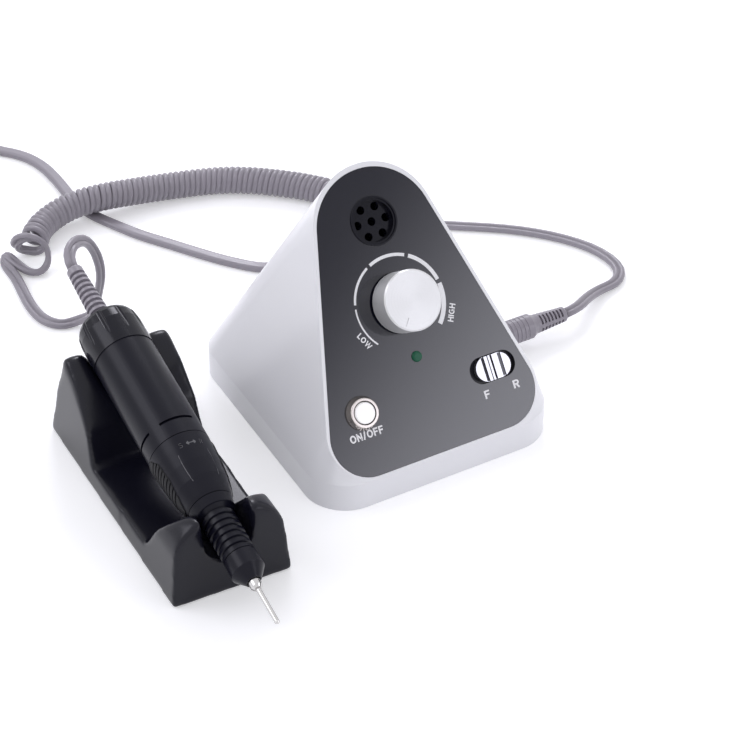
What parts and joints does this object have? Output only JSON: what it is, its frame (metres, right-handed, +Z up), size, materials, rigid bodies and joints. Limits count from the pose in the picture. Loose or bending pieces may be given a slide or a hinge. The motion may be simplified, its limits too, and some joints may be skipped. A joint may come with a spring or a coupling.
{
  "type": "nail drill machine",
  "caption": "Electric nail drill: control unit with a sloping panel, speed knob and switches, a cradle, and a pen-shaped handpiece on a curly cord.",
  "frame": {"origin": "on the table under the middle of the control unit's foot", "axes": "+Z up, the panel and the unit's front face -Y, +X to the unit's right as seen from the front"},
  "size_m": [0.3537, 0.4536, 0.12],
  "materials": {
    "white_plastic": "glossy white",
    "panel_black": "high gloss black",
    "black_plastic": "satin black",
    "black_gloss": "gloss black",
    "black_coated": "satin black coating",
    "knob_metal": "turned aluminium",
    "chrome": "polished",
    "steel": "steel",
    "green_lamp": "translucent green",
    "grey_cord": "grey cord jacket",
    "black_rubber": "black rubber",
    "board_green": "circuit board",
    "copper": "enamelled winding",
    "core_iron": "laminated core",
    "brass": "brass"
  },
  "bodies": {
    "unit": {"housing_shell": "white_plastic", "base_plate": "black_plastic", "unit_feet": "black_rubber", "base_screws": "steel", "front_panel": "panel_black", "bit_holder": "black_plastic", "pot_body": "steel", "pot_nut": "steel", "power_led": "green_lamp", "led_holder": "black_plastic", "on_off_bezel": "chrome", "on_off_switch": "black_plastic", "direction_frame": "black_plastic", "direction_switch": "black_plastic", "control_board": "board_green", "board_pillars": "white_plastic", "board_parts": "black_plastic", "transformer_core": "core_iron", "transformer_winding": "copper", "transformer_bracket": "steel", "handpiece_socket": "brass", "socket_ring": "steel", "mains_gland": "grey_cord", "cradle_body": "black_plastic", "cradle_base": "black_plastic", "cradle_feet": "black_rubber", "plug_body": "black_plastic", "plug_pin": "brass", "plug_lead": "grey_cord", "curly_cord": "grey_cord", "handpiece_lead": "grey_cord", "mains_cord": "grey_cord", "mains_coil": "grey_cord", "coil_tie": "black_plastic", "mains_plug": "black_plastic", "mains_pins": "brass"},
    "knob": {"speed_knob": "knob_metal", "knob_core": "black_plastic", "pot_shaft": "steel"},
    "button": {"on_off_cap": "chrome"},
    "direction": {"direction_cap": "chrome"},
    "handpiece": {"nose_cap": "black_coated", "nose_grip": "black_coated", "body_tube": "black_coated", "end_cap": "black_gloss", "cord_boot": "grey_cord", "motor_can": "steel", "front_bearing": "steel", "rear_bearing": "steel"},
    "sleeve": {"twist_sleeve": "black_coated", "sleeve_grips": "black_rubber"},
    "spindle": {"rotor": "core_iron", "spindle_shaft": "steel", "collet": "steel"},
    "bit": {"drill_bit": "steel"}
  },
  "joints": [
    {"name": "speed_turn", "type": "hinge", "parent": "unit", "child": "knob", "pos_m": [0, -0.0233, 0.06934], "axis": [0, 0.7944, -0.6074], "range_deg": [0, 288]},
    {"name": "power_press", "type": "slide", "parent": "unit", "child": "button", "axis": [0, 0.7944, -0.6074], "range_m": [0, 0.002], "stiffness_N_per_m": 600, "springref_m": -0.0005},
    {"name": "direction_slide", "type": "slide", "parent": "unit", "child": "direction", "axis": [1, 0, 0], "range_m": [-0.0024, 0.0024]},
    {"name": "handpiece_lift", "type": "slide", "parent": "unit", "child": "handpiece", "axis": [0, 0, 1], "range_m": [0, 0.06], "deforming": ["handpiece_lead"]},
    {"name": "chuck_twist", "type": "hinge", "parent": "handpiece", "child": "sleeve", "pos_m": [-0.11641, -0.10497, 0.02252], "axis": [0.0332, 0.975, 0.2198], "range_deg": [0, 60]},
    {"name": "spindle_spin", "type": "hinge", "parent": "handpiece", "child": "spindle", "pos_m": [-0.11641, -0.10497, 0.02252], "axis": [0.0332, 0.975, 0.2198], "continuous": true},
    {"name": "bit_pull", "type": "slide", "parent": "spindle", "child": "bit", "axis": [-0.0332, -0.975, -0.2198], "range_m": [0, 0.02]}
  ]
}
